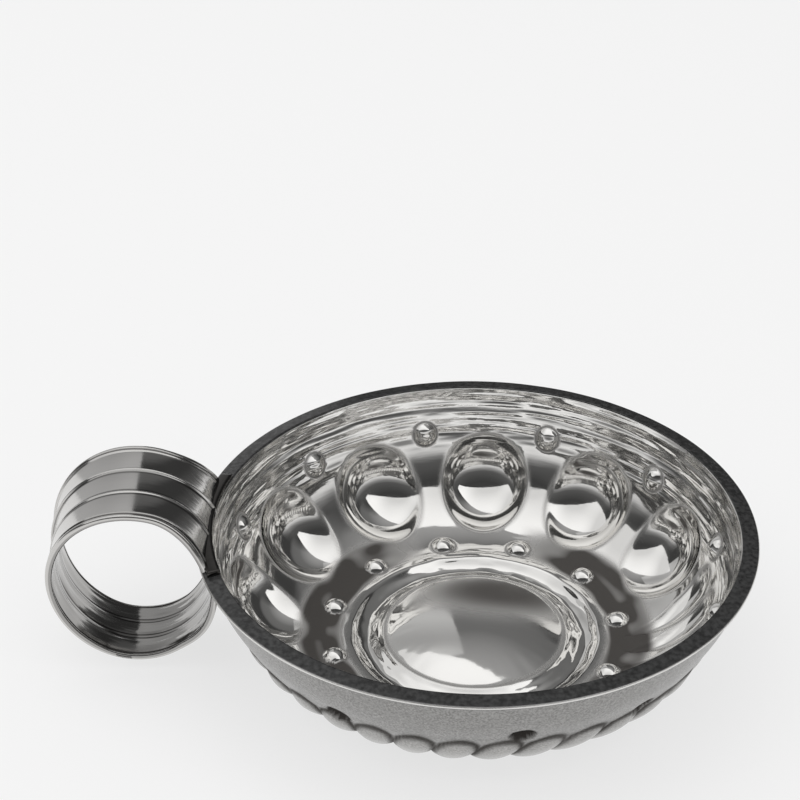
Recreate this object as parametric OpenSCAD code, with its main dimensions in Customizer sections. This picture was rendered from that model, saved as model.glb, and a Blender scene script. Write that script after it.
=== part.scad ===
// Wine taster: a shallow bowl raised from one silver sheet, a flat wire soldered round its rim,
// and a fluted strap bent into a ring for the finger. The sheet is pressed from both sides:
// a dome and moat in the floor, two rings of pearls, round cupules on the far half and
// swirled gadroons on the near half, so that wine shows its colour at many depths.
// Millimetres, +Z up. The bowl stands on z = 0 and the handle lies towards -X.
// Azimuths turn about the bowl's axis from +X towards +Y, the far side.

/* [Bowl] */
// Height from the table to the top of the rim
bowl_h = 22.5; // [21.5:0.5:25]
// Outer diameter of the rim
rim_d = 85.4; // [82:0.2:92]
// Thickness of the raised sheet
sheet = 1; // [0.8:0.05:1.2]
// Lean of the wall from upright, in degrees
wall_lean = 25; // [23:1:28]
// Outside radius of the bend between floor and wall
bend_r = 18; // [17:0.5:19]
// Swell of the bend past the lines of the floor and the wall
bend_swell = 0.12; // [0.08:0.02:0.2]
// Height of the bend's lowest point above the table
floor_lift = 1; // [0.8:0.1:1.3]
// Thickness of the silver where it is stretched over a pressed form
pressed_skin = 0.7; // [0.6:0.05:0.7]

/* [Dome and moat] */
// Radius of the dome at the level of the floor
dome_r = 14.1; // [13.8:0.1:14.3]
// Rise of the dome above the floor
dome_rise = 2.8; // [2.6:0.1:3.2]
// Radius of the moat's middle line
moat_r = 16.9; // [16.6:0.1:17.4]
// Inside radius of the moat's round bottom
moat_bend = 2.9; // [2.6:0.1:3.2]
// Depth worn flat under the moat, where the bowl stands
foot_wear = 0.15; // [0.1:0.05:0.3]

/* [Pearls] */
// Radius of a pearl's ball
pearl_r = 2.1; // [1.9:0.1:2.3]
// Depth of the ball's centre under the inner surface
pearl_sink = 0.8; // [0.6:0.1:0.9]
// Radius of the ring of lower pearls, on the floor
low_pearls_r = 22.8; // [22.4:0.1:23.2]
// Height of the ring of upper pearls, on the wall
high_pearls_z = 15.1; // [14.8:0.1:16]
// Azimuth of the first pearl
first_pearl = 5.8; // [0:0.2:12]
// Pearls of each ring that lie on the gadrooned half
near_pearls = 4; // [3:1:5]
// Turn of the gadrooned half's upper pearls from the lower ones
near_turn = 10; // [6:1:12]

/* [Cupules] */
// Number of cupules
cupules = 6; // [5:1:6]
// Angle from one cupule to the next
cupule_pitch = 31.8; // [31:0.1:33]
// Radius of a cupule's ball
cupule_r = 9.6; // [9:0.1:10]
// Depth of a cupule under the inner surface
cupule_depth = 2.7; // [2:0.1:3]
// Angle of a cupule's middle below level, seen from the bend's centre
cupule_aim = 43; // [41:1:45]

/* [Gadroons] */
// Number of gadroons
gadroons = 17; // [15:1:17]
// Angle from one gadroon to the next
gadroon_pitch = 9.8; // [9.6:0.1:10]
// Radius across a gadroon's hollow
gadroon_r = 4.1; // [3.6:0.1:4.1]
// Depth of a gadroon under the inner surface
gadroon_depth = 0.9; // [0.7:0.1:0.9]
// Angle of a gadroon's middle below level, seen from the bend's centre
gadroon_aim = 49; // [48:1:50]
// Angle from a gadroon's middle to its tip
gadroon_reach = 25; // [22:1:26]
// Slant of the gadroons from straight up the wall
gadroon_swirl = 12; // [6:1:14]

/* [Rim] */
// Width of the rim's flat top
rim_w = 2.6; // [2.2:0.1:3]
// Thickness of the rim wire at its inner edge
rim_t = 1.1; // [0.9:0.1:1.3]
// Radius of the rim's rounded outer edge
rim_nose = 0.32; // [0.25:0.01:0.4]
// Reach of the rim past the line of the wall
rim_overhang = 0.35; // [0.2:0.05:0.5]
// Height of the rim's upright inner face
rim_lip = 0.3; // [0.2:0.1:0.7]

/* [Handle] */
// Bore of the ring, for a finger
ring_bore = 23.2; // [21:0.2:25]
// Width of the strap round the ring
ring_w = 19.4; // [18:0.2:21]
// Thickness of the strap
strap_t = 1.2; // [1:0.05:1.4]
// Depth of the ring's centre under the top of the rim
ring_drop = 4.7; // [3.8:0.1:5.4]
// Least height of the ring's centre above the cupules' bulges
ring_clear = 3.6; // [3:0.1:3.6]
// Radius of the beads along the strap's edges
bead_r = 0.8; // [0.7:0.05:0.95]
// Number of flutes round the strap
flutes = 3; // [2:1:4]
// Depth of a flute
flute_depth = 0.2; // [0.2:0.05:0.4]
// Width of the ridge between two flutes
ridge_w = 0.3; // [0.2:0.05:0.6]
// Swell inside the ring behind a flute
flute_swell = 0.15; // [0.1:0.05:0.15]
// Width of the strap where it lands on the rim
landing_w = 26.6; // [24:0.2:29]
// Length over which the strap widens to its landing
flare_len = 8; // [6.5:0.5:9]
// Thickness of the landing on top of the rim
landing_t = 0.8; // [0.6:0.1:1.2]
// Length of the solder fillet under the handle
solder_len = 15; // [12:0.5:16]
// Depth of the solder fillet under the ring's centre
solder_drop = 4; // [3.4:0.1:4.6]

/* [Hidden] */
$fn = 96;

// The bowl's own profile, as radius and height
rim_r = rim_d / 2;
rim_in = rim_r - rim_w;
// Angles of the points round the rim's nose
nose_start = 75;
nose_step = 15;
wall_top = bowl_h - rim_t;
floor_z = floor_lift + sheet;
bend_z = floor_lift + bend_r;
bend_in = bend_r - sheet;
line_r = bend_r - bend_swell;

// The bend's arc runs a little past the floor and the wall, so that it crosses both
pie_margin = 15;
pie_angles = [-90 - pie_margin, -(90 + wall_lean) / 2, pie_margin - wall_lean];

turn_z = bend_z - line_r * sin(wall_lean);
flat_r = rim_r - rim_overhang - (bowl_h - turn_z) * tan(wall_lean) - line_r * cos(wall_lean);
moat_z = moat_bend + sheet - foot_wear;
// The floor dips to this angle below level, seen from the moat's centre, where the dome covers it
dip_aim = 58;
dome_ball = (dome_r * dome_r + dome_rise * dome_rise) / (2 * dome_rise);
dome_z = floor_z + dome_rise - dome_ball;

// The wall's radius at a height, for a surface that lies inset under the outside
function wall_r(z, inset) =
    flat_r + (line_r - inset) * cos(wall_lean)
    + (z - bend_z + (line_r - inset) * sin(wall_lean)) * tan(wall_lean);

// The cupules fill one stretch of azimuths, and the gadroons are centred in the rest
cupule_field = cupules * cupule_pitch;
near_start = first_pearl + cupule_field;
near_field = 360 - cupule_field;
near_pitch = near_field / (near_pearls + 1);
far_azimuths = [for (i = [0:cupules]) first_pearl + i * cupule_pitch];
near_azimuths = [for (i = [1:near_pearls]) near_start + i * near_pitch];
cupule_azimuths = [for (i = [0:cupules - 1]) first_pearl + (i + 0.5) * cupule_pitch];
gadroon_middle = near_start + near_field / 2;
gadroon_azimuths = [for (i = [0:gadroons - 1]) gadroon_middle + (i - (gadroons - 1) / 2) * gadroon_pitch];

// A gadroon's hollow follows an arc that is tighter than the bend, so it runs out at both tips
gadroon_floor = bend_in + gadroon_depth;
gadroon_shift = (gadroon_floor * gadroon_floor - bend_in * bend_in)
    / (2 * (gadroon_floor - bend_in * cos(gadroon_reach)));
gadroon_arc = gadroon_floor - gadroon_shift - gadroon_r;
gadroon_sweep = 140;

// The cupules bulge the outside of the wall up to this height
bulge_arm = bend_in + cupule_depth - cupule_r;
bulge_turn = cupule_aim - wall_lean;
bulge_half = sqrt(pow(cupule_r + pressed_skin, 2) - pow(line_r - bulge_arm * cos(bulge_turn), 2));
bulge_top = turn_z + (bulge_half - bulge_arm * sin(bulge_turn)) * cos(wall_lean);

// The ring's outside meets the top of the rim along the rim's inner edge, clear of the bulges
ring_in = ring_bore / 2;
ring_out = ring_in + strap_t;
ring_z = max(bowl_h - ring_drop, bulge_top + ring_clear);
ring_x = -rim_in - sqrt(pow(ring_out, 2) - pow(bowl_h - ring_z, 2));
bead_proud = bead_r - strap_t / 2;
flute_pitch = (ring_w - 4 * bead_r) / flutes;
flute_w = flute_pitch - ridge_w;
flute_ball = (flute_w * flute_w / 4 + flute_depth * flute_depth) / (2 * flute_depth);
flute_x = ring_out - flute_depth + flute_ball;
landing_nose = 2 * rim_nose;
flare_root = ring_w / 2 - bead_r / 2;
flare_rise = landing_w / 2 - flare_root;
flare_r = (flare_len * flare_len + flare_rise * flare_rise) / (2 * flare_rise);
flare_x = -rim_in - flare_len;
meniscus_r = strap_t;
solder_z = ring_z - solder_drop;

// The origin lies under the middle of the whole length, handle included
axis_x = (ring_out + bead_proud - ring_x - rim_r) / 2;

module on_axis() {
    translate([axis_x, 0, 0]) children();
}

// Half section of the bowl's form: round bend, leaning wall, and a floor that dips for the dome and moat
module bowl_section(inset, top) {
    r = bend_r - inset;
    flank_r = line_r - inset;
    dip_z = moat_z - (moat_bend + sheet - inset) * sin(dip_aim);
    polygon([
        [0, dip_z],
        [moat_r, dip_z],
        [moat_r, bend_z - flank_r],
        [flat_r, bend_z - flank_r],
        [flat_r + flank_r * cos(wall_lean), bend_z - flank_r * sin(wall_lean)],
        [wall_r(top, inset), top],
        [0, top]
    ]);
    translate([flat_r, bend_z])
        intersection() {
            circle(r);
            polygon(concat([[0, 0]], [for (a = pie_angles) 2 * r * [cos(a), sin(a)]]));
        }
}

// Carries children to a point of the bend, with their +X along the outward normal
module at_bend(azimuth, aim) {
    rotate([0, 0, azimuth])
        translate([flat_r, 0, bend_z])
            rotate([0, aim, 0])
                translate([bend_in, 0, 0]) children();
}

// Carries children to a point of the inner wall, with their +X along the outward normal
module at_wall(azimuth, z) {
    rotate([0, 0, azimuth])
        translate([wall_r(z, sheet), 0, z])
            rotate([0, wall_lean, 0]) children();
}

// A pearl's ball under the inner surface, with its poles along the surface's normal
module pearl(r) {
    translate([pearl_sink, 0, 0]) rotate([0, 90, 0]) sphere(r);
}

// The balls of every pearl: proud of the inside, or hollow on the outside
module pearls(r) {
    low_aim = acos((low_pearls_r - flat_r) / bend_in);
    for (a = concat(far_azimuths, near_azimuths))
        at_bend(a, low_aim) pearl(r);
    for (a = far_azimuths)
        at_wall(a, high_pearls_z) pearl(r);
    for (a = near_azimuths)
        at_wall(a + near_turn, high_pearls_z) pearl(r);
}

// The balls of the cupules, grown by the silver under them for their outside
module cupule_balls(grow) {
    for (a = cupule_azimuths)
        at_bend(a, cupule_aim) translate([cupule_depth - cupule_r, 0, 0]) sphere(cupule_r + grow);
}

// The bent hollow of one gadroon, grown by the silver under it for its outside
module gadroon(azimuth, grow) {
    at_bend(azimuth, gadroon_aim)
        rotate([gadroon_swirl, 0, 0])
            translate([gadroon_shift - bend_in, 0, 0])
                rotate([90, 0, 0])
                    rotate([0, 0, -gadroon_sweep / 2])
                        rotate_extrude(angle = gadroon_sweep)
                            translate([gadroon_arc, 0]) circle(gadroon_r + grow);
}

// Adds the bulges of the first gadroons to the children, one after the other
module with_bulges(count) {
    if (count == 0)
        children();
    else
        union() {
            with_bulges(count - 1) children();
            gadroon(gadroon_azimuths[count - 1], pressed_skin);
        }
}

// Presses the hollows of the first gadroons into the children, one after the other
module with_hollows(count) {
    if (count == 0)
        children();
    else
        difference() {
            with_hollows(count - 1) children();
            gadroon(gadroon_azimuths[count - 1], 0);
        }
}

// The outside of the bowl as one solid: wall, bend, foot under the moat, hollow under the dome
module bowl_outside() {
    rotate_extrude()
        difference() {
            union() {
                bowl_section(0, wall_top);
                intersection() {
                    translate([moat_r, moat_z]) circle(moat_bend + sheet);
                    square([rim_r, moat_z]);
                }
            }
            translate([0, dome_z]) circle(dome_ball - sheet);
        }
    cupule_balls(pressed_skin);
}

// Everything that wine can fill, but for the gadroons
module bowl_inside() {
    difference() {
        union() {
            rotate_extrude()
                difference() {
                    union() {
                        bowl_section(sheet, bowl_h + cupule_r);
                        translate([moat_r, moat_z]) circle(moat_bend);
                    }
                    translate([0, dome_z]) circle(dome_ball);
                }
            cupule_balls(0);
        }
        pearls(pearl_r);
    }
}

module bowl() {
    color("silver")
        on_axis()
            with_hollows(gadroons)
                difference() {
                    with_bulges(gadroons) bowl_outside();
                    bowl_inside();
                    pearls(pearl_r - pressed_skin);
                }
}

// Outline of the rim wire from its inner edge over the flat top and round the nose
function rim_outline(inner_r) = concat(
    [[inner_r, bowl_h]],
    [for (a = [nose_start:-nose_step:-90])
        [rim_r - rim_nose + rim_nose * cos(a), wall_top + rim_nose + rim_nose * sin(a)]]
);

module rim_band() {
    color("dimgray")
        on_axis()
            rotate_extrude()
                polygon(concat(
                    rim_outline(rim_in),
                    [[wall_r(wall_top, sheet), wall_top], [rim_in, bowl_h - rim_lip]]
                ));
}

// The space that the upper bowl and its rim take up, for scarfing the handle to them
module bowl_space() {
    rotate_extrude()
        polygon(concat(
            rim_outline(rim_in),
            [[wall_r(wall_top, 0), wall_top], [wall_r(turn_z, 0), turn_z], [0, turn_z], [0, bowl_h]]
        ));
}

// Section of the strap: flutes between beaded edges, with a soft swell behind each flute
module strap_section() {
    strap_y = ring_w / 2 - bead_r;
    difference() {
        union() {
            translate([ring_in, -strap_y]) square([strap_t, 2 * strap_y]);
            for (side = [-1, 1])
                translate([ring_in + strap_t / 2, side * strap_y]) circle(bead_r);
        }
        for (i = [0:flutes - 1])
            translate([flute_x, (i - (flutes - 1) / 2) * flute_pitch]) circle(flute_ball);
    }
    for (i = [0:flutes - 1])
        intersection() {
            translate([flute_x, (i - (flutes - 1) / 2) * flute_pitch])
                circle(flute_x - ring_in + flute_swell);
            translate([ring_in - strap_t, (i - (flutes - 1) / 2) * flute_pitch - flute_w / 2])
                square([strap_t + strap_t / 4, flute_w]);
        }
}

module about_ring() {
    translate([ring_x, 0, ring_z]) rotate([90, 0, 0]) children();
}

// One side of the strap where it widens towards the rim
module strap_wing() {
    difference() {
        intersection() {
            about_ring()
                rotate_extrude()
                    translate([ring_in, -landing_w / 2]) square([strap_t, landing_w]);
            translate([flare_x, flare_root, wall_top])
                cube([flare_len + rim_w, flare_rise, ring_out]);
        }
        translate([flare_x, flare_root + flare_r, 0]) cylinder(r = flare_r, h = 3 * bowl_h);
    }
}

// The end of the strap that lies on the rim and is trimmed to its inner edge
module landing() {
    intersection() {
        rotate_extrude()
            polygon([
                [rim_in, bowl_h - rim_lip],
                [rim_in, bowl_h + landing_t],
                [rim_r - landing_nose, wall_top + landing_nose + landing_t],
                [rim_r - landing_nose, wall_top + landing_nose / 2]
            ]);
        translate([-rim_d, -landing_w / 2, 0]) cube([rim_d, landing_w, 2 * bowl_h]);
    }
}

module ring_handle() {
    color("lightgray")
        on_axis()
            difference() {
                union() {
                    about_ring() rotate_extrude() strap_section();
                    strap_wing();
                    mirror([0, 1, 0]) strap_wing();
                    landing();
                }
                bowl_space();
            }
}

// Solder in the wedge where the ring turns away from the wall, hollowed as it set
module handle_solder() {
    $fn = 256;
    color("gray")
        on_axis()
            difference() {
                translate([ring_x + ring_in, -solder_len / 2, solder_z])
                    cube([2 * strap_t + rim_w, solder_len, solder_drop]);
                about_ring() cylinder(r = ring_out, h = 2 * ring_w, center = true);
                bowl_outside();
                translate([ring_x + ring_out, 0, solder_z - meniscus_r / 2])
                    rotate([90, 0, 0]) cylinder(r = meniscus_r, h = 2 * ring_w, center = true);
            }
}

bowl();
rim_band();
ring_handle();
handle_solder();
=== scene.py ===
# %% [markdown]
# # A silver tastevin
# A tastevin is the shallow cup that cellar hands taste wine from. This one is raised from a single sheet
# of silver, with a flat wire soldered on its edge and a fluted strap bent into a ring for the finger. The
# CAD model already has every piece in its place. Here each piece gets a finer skin and a finish, in the
# same frame and in metres, so nothing has to be fitted afterwards.

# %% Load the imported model
import math

import bpy
import numpy as np
from mathutils import Matrix, Vector


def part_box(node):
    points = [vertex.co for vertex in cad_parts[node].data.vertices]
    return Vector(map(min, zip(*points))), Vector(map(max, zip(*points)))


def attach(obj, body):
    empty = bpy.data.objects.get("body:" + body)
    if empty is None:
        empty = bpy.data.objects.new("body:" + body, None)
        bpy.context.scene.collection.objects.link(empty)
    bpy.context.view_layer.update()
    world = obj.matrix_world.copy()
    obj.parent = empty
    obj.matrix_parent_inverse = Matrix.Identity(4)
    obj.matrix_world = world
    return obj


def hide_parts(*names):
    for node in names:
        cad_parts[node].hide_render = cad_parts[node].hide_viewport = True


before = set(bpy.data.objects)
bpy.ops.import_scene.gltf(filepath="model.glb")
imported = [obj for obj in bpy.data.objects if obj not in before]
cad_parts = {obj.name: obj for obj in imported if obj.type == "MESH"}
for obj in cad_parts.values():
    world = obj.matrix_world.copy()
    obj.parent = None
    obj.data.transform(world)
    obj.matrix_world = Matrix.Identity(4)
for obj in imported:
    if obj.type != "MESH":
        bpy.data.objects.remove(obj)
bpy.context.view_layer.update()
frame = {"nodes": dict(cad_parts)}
print("CAD nodes:", ", ".join(frame["nodes"]))

# %% [markdown]
# ## Measuring before making
# A silversmith measures a cup from its rim, and so do we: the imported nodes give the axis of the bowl, the
# radius and height of the rim, and the middle of the ring. Sizes of the pressed forms are then plain
# named values in millimetres, measured from the bowl's axis, and a mesh turns to metres only when it is
# made.

# %% Measure the rim and the ring
MM = 0.001


def node_box(name):
    """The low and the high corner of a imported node, in millimetres."""
    low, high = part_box(name)
    return np.array(low) / MM, np.array(high) / MM


rim_low, rim_high = node_box("rim_band")
axis_x = (rim_low[0] + rim_high[0]) / 2
rim_r = (rim_high[1] - rim_low[1]) / 2
rim_top = rim_high[2]
ring_low, ring_high = node_box("ring_handle")
print(f"rim radius {rim_r:.2f}, rim top {rim_top:.2f}, bowl axis at x {axis_x:.2f} mm")

# %% [markdown]
# ## The line of the sheet
# Cut the bowl in half and its inner face is one line: a dome, a moat round it, a floor, a round bend and
# a leaning wall. We write that line as height over radius, then walk along it in equal steps and soften
# its corners, because silver that was hammered over a stake never has a true crease. Working along the
# line, and not along the radius, keeps the mesh even on the steep wall.

# %% Name the sizes of the sheet and the rim
sheet = 1.0
wall_lean = math.radians(25)
bend_r = 18.0
bend_swell = 0.12
floor_lift = 1.0
wall_belly = 0.7
belly_low = 11.0
belly_skew = 0.9
draw_low = 13.5
dome_r = 14.1
dome_rise = 2.8
moat_r = 16.9
moat_bend = 2.9
foot_wear = 0.15
rim_thick = 1.1
rim_overhang = 0.35
rim_w = 2.6
rim_nose = 0.32
rim_lip = 0.22

wall_top = rim_top - rim_thick
rim_in = rim_r - rim_w
lip_z = rim_top - rim_lip
bend_z = floor_lift + bend_r
line_r = bend_r - bend_swell
turn_z = bend_z - line_r * math.sin(wall_lean)
wall_reach = (rim_top - turn_z) * math.tan(wall_lean)
flat_r = rim_r - rim_overhang - wall_reach - line_r * math.cos(wall_lean)
moat_z = moat_bend + sheet - foot_wear
dome_ball = (dome_r ** 2 + dome_rise ** 2) / (2 * dome_rise)
dome_z = floor_lift + sheet + dome_rise - dome_ball
print(f"the wall bends up from radius {flat_r:.2f}, the dome is part of a ball of radius {dome_ball:.1f} mm")

# %% Write the wall as formulas


def plain_wall(z, inset=0.0):
    """Radius of a straight wall at a height, for a face that lies inset under the outside."""
    reach = line_r - inset
    foot_z = bend_z - reach * math.sin(wall_lean)
    return flat_r + reach * math.cos(wall_lean) + (z - foot_z) * math.tan(wall_lean)


def outer_wall(z):
    """Radius of the outer face, which swells a little past a straight line."""
    t = np.clip((z - belly_low) / (rim_top - belly_low), 0, 1)
    return plain_wall(z) + wall_belly * np.sin(math.pi * t ** belly_skew)


def inner_wall(z):
    """Radius of the inner face, which stands up steeper towards the rim and ends flush with it."""
    t = np.clip((z - draw_low) / (lip_z - draw_low), 0, None)
    return plain_wall(z, sheet) + (rim_in - plain_wall(lip_z, sheet)) * t ** 2


print(f"outer wall radius {outer_wall(wall_top):.2f} mm under the rim")

# %% Write the floor, the moat and the dome as one height


def inner_height(r):
    """Height of the inner face over the radius, with a straight wall."""
    meets_wall, past_bend = 0.85, 0.95
    floor = np.full_like(r, bend_z - line_r + sheet)
    across = np.clip((r - flat_r) / (bend_r - sheet), 0, 0.999)
    bend = bend_z - (bend_r - sheet) * np.sqrt(1 - across ** 2)
    foot = turn_z + sheet * math.sin(wall_lean)
    wall = foot + (r - plain_wall(foot, sheet)) / math.tan(wall_lean)
    rising = np.where(across > meets_wall, np.minimum(bend, wall), bend)
    height = np.where(across > past_bend, wall, rising)
    height = np.where(r < flat_r, floor, height)
    in_moat = np.abs(r - moat_r) < moat_bend
    moat = moat_z - np.sqrt(np.clip(moat_bend ** 2 - (r - moat_r) ** 2, 0, None))
    height = np.where(in_moat, np.minimum(height, moat), height)
    dome = dome_z + np.sqrt(np.clip(dome_ball ** 2 - r ** 2, 0, None))
    return np.where(r < moat_r, np.maximum(height, dome), height)


print(f"the dome rises to z {dome_z + dome_ball:.2f}, the moat falls to z {moat_z - moat_bend:.2f} mm")

# %% Walk along the line and soften its corners


def soften(line, reach, step):
    """A running mean with a bell-shaped weight, with both ends held."""
    half = int(4 * reach / step)
    weight = np.exp(-0.5 * (np.arange(-half, half + 1) * step / reach) ** 2)
    before = 2 * line[0] - line[half:0:-1]
    after = 2 * line[-1] - line[-2:-half - 2:-1]
    return np.convolve(np.concatenate([before, line, after]), weight / weight.sum(), "valid")


line_step = 0.04
corner_soft = 0.22
first_steps = 8000
radii = np.linspace(0, plain_wall(lip_z, sheet), first_steps)
heights = inner_height(radii)
radii = radii + np.where(radii > moat_r, inner_wall(heights) - plain_wall(heights, sheet), 0)
walked = np.concatenate([[0], np.cumsum(np.hypot(np.diff(radii), np.diff(heights)))])
along = np.arange(0, walked[-1], line_step)
line_rr = soften(np.interp(along, walked, radii), corner_soft, line_step)
line_zz = soften(np.interp(along, walked, heights), corner_soft, line_step)
line_dr = np.gradient(line_rr, line_step)
line_dz = np.gradient(line_zz, line_step)
wall_thick = (outer_wall(line_zz) - inner_wall(line_zz)) * math.cos(wall_lean)
line_thick = np.where(line_rr > moat_r, wall_thick, sheet)
print(f"the line is {along[-1]:.1f} mm long from the middle to the rim")

# %% [markdown]
# ## Where the pressed forms lie
# Six round cupules fill the far half, swirled gadroons the near half, and two rings of pearls run round
# both. A pearl stands between every two cupules. On the near half the pearls were set by eye, so they
# stray a little. Azimuths turn about the bowl's axis, from the side opposite the ring towards the
# cupules, as in the CAD model.

# %% Name the sizes of the pressed forms
cupules = 6
cupule_pitch = 31.8
cupule_r = 9.6
cupule_depth = 2.7
cupule_aim = math.radians(43)
first_pearl = 5.8
pearl_r = 2.1
pearl_sink = 0.8
low_pearls_r = 22.8
high_pearls_z = 15.1
near_pearls = 4
near_turn = 10.0
near_drift = np.array([-3.2, 3.6, -1.0, 0.0])
near_drop = np.array([2.6, 1.0, 2.8, 1.0])
gadroons = 17
gadroon_pitch = 9.8
gadroon_depth = 1.05
gadroon_bulge = 0.85
gadroon_tip_r = 23.6
gadroon_top_z = 12.4
gadroon_swirl = 7.5
pressed_skin = 0.7
print(f"{cupules} cupules, {gadroons} gadroons, {2 * (cupules + 1 + near_pearls)} pearls")

# %% Lay out the pearls, cupules and gadroons


def first_along(found):
    """How far along the line a condition first holds."""
    return along[np.argmax(found)]


cupule_field = cupules * cupule_pitch
near_field = 360 - cupule_field
near_start = first_pearl + cupule_field
far_azimuths = first_pearl + cupule_pitch * np.arange(cupules + 1)
near_azimuths = near_start + near_field / (near_pearls + 1) * np.arange(1, near_pearls + 1)
cupule_azimuths = first_pearl + cupule_pitch * (np.arange(cupules) + 0.5)
gadroon_middle = near_start + near_field / 2
ridge_azimuths = gadroon_middle + gadroon_pitch * (np.arange(gadroons + 1) - gadroons / 2)
low_azimuths = np.concatenate([far_azimuths, near_azimuths])
high_azimuths = np.concatenate([far_azimuths, near_azimuths + near_turn + near_drift])
high_heights = high_pearls_z - np.concatenate([np.zeros(len(far_azimuths)), near_drop])

past_moat = line_rr > moat_r
low_pearl_s = first_along(past_moat & (line_rr > low_pearls_r))
high_pearl_s = first_along(past_moat & (line_zz > high_pearls_z))
tip_s = first_along(line_rr > gadroon_tip_r)
top_s = first_along(past_moat & (line_zz > gadroon_top_z))
print(f"cupules at {np.round(cupule_azimuths, 1)} degrees")
print(f"gadroon ridges from {ridge_azimuths[0]:.1f} to {ridge_azimuths[-1]:.1f} degrees")

# %% [markdown]
# ## A grid that follows the work
# The sheet is modelled as a grid of rows and columns. Rows crowd together at the rings of pearls. Columns
# crowd at each pearl and, on the gadrooned half, lean with the swirl, so that every ridge between two
# gadroons has a column of its own. A grid that follows the forms gives crisp ridges with far fewer points
# than an even one.

# %% Space the rows and columns


def graded(start, end, coarse, spots=(), reach=1.0, fine=1.0):
    """Values from start to end, coarse apart, and fine apart within reach of each spot."""
    samples, steepness = 4001, 8
    axis = np.linspace(start, end, samples)
    near = np.zeros_like(axis)
    for spot in spots:
        near = np.maximum(near, 1 / (1 + (np.abs(axis - spot) / reach) ** steepness))
    spacing = coarse + (fine - coarse) * near[1:]
    count = np.concatenate([[0], np.cumsum((axis[1] - axis[0]) / spacing)])
    steps = max(2, int(round(count[-1])) + 1)
    return np.interp(np.linspace(0, count[-1], steps), count, axis)


def rows_to_rim(dome_coarse, wall_coarse, spots, reach, fine):
    """Rows from the middle to the rim: plain on the dome, and graded beyond it."""
    first_row, dome_end = 0.3, dome_r - 1.5
    dome_rows = graded(first_row, dome_end, dome_coarse)
    return np.concatenate([dome_rows[:-1], graded(dome_end, along[-1], wall_coarse, spots, reach, fine)])


pearl_spots = np.concatenate([low_azimuths, high_azimuths]) % 360
turns = np.concatenate([pearl_spots - 360, pearl_spots, pearl_spots + 360])
stretches = list(ridge_azimuths) + [ridge_azimuths[0] + 360]
columns = np.concatenate([
    graded(start, end, coarse=0.7, spots=turns, reach=3.8, fine=0.3)[:-1]
    for start, end in zip(stretches, stretches[1:])])
pearl_rows = [low_pearl_s, high_pearl_s]
streak_rows = [high_pearl_s + 5, along[-1] - 1]
inner_rows = rows_to_rim(
    dome_coarse=0.9, wall_coarse=0.32, spots=pearl_rows + streak_rows, reach=2.5, fine=0.15)
outer_rows = rows_to_rim(dome_coarse=1.2, wall_coarse=0.42, spots=pearl_rows, reach=2.1, fine=0.2)
print(f"{len(columns)} columns, {len(inner_rows)} rows inside and {len(outer_rows)} outside")

# %% Lean the columns with the swirl


def swirled(s):
    """The grid's columns as azimuths on each row: they lean where the gadroons are."""
    overrun, margin, margin_soft = 0.25, 6, 1.5
    rise = np.clip((s - tip_s) / (top_s - tip_s), -overrun, 1 + overrun) - 0.5
    offset = (columns - gadroon_middle + 180) % 360 - 180
    edge = gadroons * gadroon_pitch / 2
    share = 1 / (1 + np.exp((np.abs(offset) - edge - margin) / margin_soft))
    return columns[None, :] + gadroon_swirl * rise[:, None] * share[None, :]


inner_az = swirled(inner_rows)
outer_az = swirled(outer_rows)
print(f"columns lean by up to {np.ptp(inner_az, axis=0).max():.1f} degrees")

# %% [markdown]
# ## Pressing the sheet
# A punch pushes the silver along the sheet's own normal. So each form is written as a depth along that
# normal: positive where the punch goes outwards, for cupules and gadroons, and negative for the pearls,
# which were pushed in from outside. A soft maximum joins a form to the sheet with a small rolled edge, as
# thick silver bends.

# %% Write a round punch as a depth


def soft_rise(depth, roll):
    """Depth where it is positive, nothing where it isn't, joined by a rolled edge."""
    return roll * np.logaddexp(0, depth / roll)


def ball_depth(points, normals, centre, radius, side):
    """How far a ball's face lies beyond each point, along side times the normal; negative outside it."""
    outer_slope = -1.3
    offset = points - centre
    out = side * np.einsum("ijk,ijk->ij", offset, normals)
    gap = np.einsum("ijk,ijk->ij", offset, offset) - radius ** 2
    inside = -out + np.sqrt(np.clip(out ** 2 - gap, 0, None))
    return np.where(gap < 0, inside, outer_slope * (np.sqrt(gap.clip(0) + radius ** 2) - radius))


def deepest(points, normals, balls, radius, side):
    """The depth of the ball that reaches furthest at each point."""
    return np.max([ball_depth(points, normals, ball, radius, side) for ball in balls], axis=0)


def dished(depth):
    """A cupule's depth with its middle drawn flatter and its edge steeper, as a worn die leaves it."""
    flattening = 1.1
    u = depth / cupule_depth
    return cupule_depth * np.where(u > 0, 1 - np.clip(1 - u, 0, None) ** flattening, flattening * u)


print("round punches: balls for cupules and pearls")

# %% Set the round punches on the sheet


def around(azimuth, r, z):
    """A point at an azimuth, a radius and a height about the bowl's axis."""
    a = np.radians(azimuth)
    return np.array([r * np.cos(a), r * np.sin(a), z])


def bend_point(azimuth, aim, depth):
    """A point under the bend, at a slope of aim and a depth below the inner face."""
    reach = bend_r - sheet + depth
    return around(azimuth, flat_r + reach * math.cos(aim), bend_z - reach * math.sin(aim))


def wall_point(azimuth, z, depth):
    """A point in the wall, at a depth below the inner face."""
    return around(azimuth, inner_wall(z) + depth * math.cos(wall_lean), z - depth * math.sin(wall_lean))


def pearl_centres(low_depth, high_depth):
    """Centres for both rings of pearls, each ring at its own depth."""
    low = [bend_point(azimuth, low_aim, low_depth) for azimuth in low_azimuths]
    high = [wall_point(azimuth, z, high_depth) for azimuth, z in zip(high_azimuths, high_heights)]
    return low + high


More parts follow.
